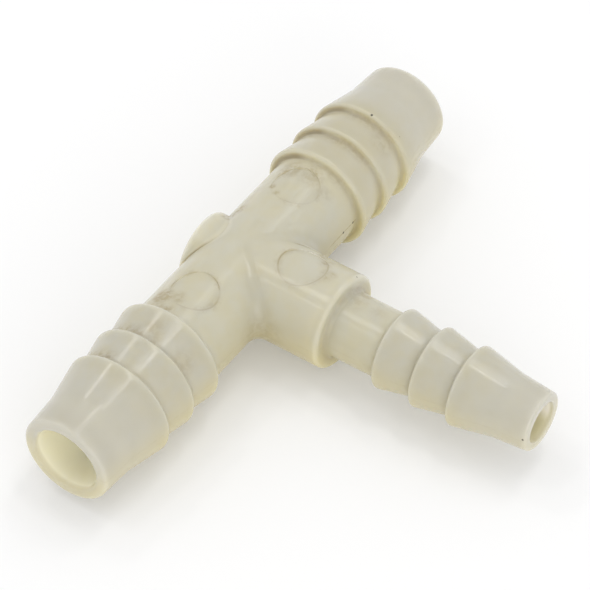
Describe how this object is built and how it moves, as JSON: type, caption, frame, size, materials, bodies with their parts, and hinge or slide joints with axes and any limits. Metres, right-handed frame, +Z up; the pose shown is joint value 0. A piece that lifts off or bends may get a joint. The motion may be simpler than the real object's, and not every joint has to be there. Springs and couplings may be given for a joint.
{
  "type": "barbed tee connector",
  "caption": "Barbed reducing tee: a straight run for half-inch hose with a narrower branch square to it, hollow all through.",
  "frame": {"origin": "bottom centre of the bounding box; the axes of run and branch cross at x = 0, y = 18.025 mm, z = 7.45 mm", "axes": "+X along the run, -Y along the branch towards its open end, +Z up, square to both limbs"},
  "size_m": [0.074, 0.051, 0.0149],
  "materials": {
    "natural_plastic": "satin, milky and slightly see-through, unpigmented polyamide or polypropylene"
  },
  "bodies": {
    "root": {"centre_body": "natural_plastic", "run_spigot_left": "natural_plastic", "run_spigot_right": "natural_plastic", "branch_spigot": "natural_plastic"}
  },
  "joints": []
}
